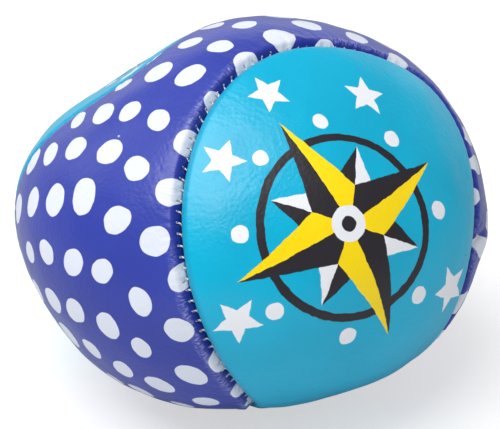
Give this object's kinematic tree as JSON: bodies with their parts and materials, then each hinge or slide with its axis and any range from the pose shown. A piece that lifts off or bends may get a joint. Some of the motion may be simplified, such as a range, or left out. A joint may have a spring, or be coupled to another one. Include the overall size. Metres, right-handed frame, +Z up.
{
  "type": "footbag",
  "caption": "Soft pellet-filled footbag sewn from interlocking turquoise and dotted blue-violet vinyl panels, with a small flat patch to rest on.",
  "frame": {"origin": "middle of the small flat patch under the bag, on the surface that it rests on", "axes": "+Z up; +X toward the middle of one turquoise lobe; +Y and -Y toward the two lobes of the dotted panel"},
  "size_m": [0.0614, 0.061, 0.0507],
  "materials": {
    "turquoise_vinyl": "soft semi-gloss printed vinyl",
    "dotted_vinyl": "soft semi-gloss vinyl printed with white dots",
    "thread": "twisted white sewing thread",
    "pellets": "plain moulded pellets"
  },
  "bodies": {
    "root": {"turquoise_panel": "turquoise_vinyl", "dotted_panel": "dotted_vinyl", "seam_thread": "thread", "pellet_filling": "pellets", "pellet_01": "pellets", "pellet_02": "pellets", "pellet_03": "pellets", "pellet_04": "pellets", "pellet_05": "pellets", "pellet_06": "pellets", "pellet_07": "pellets", "pellet_08": "pellets", "pellet_09": "pellets", "pellet_10": "pellets", "pellet_11": "pellets", "pellet_12": "pellets", "pellet_13": "pellets", "pellet_14": "pellets", "pellet_15": "pellets", "pellet_16": "pellets"}
  },
  "joints": []
}
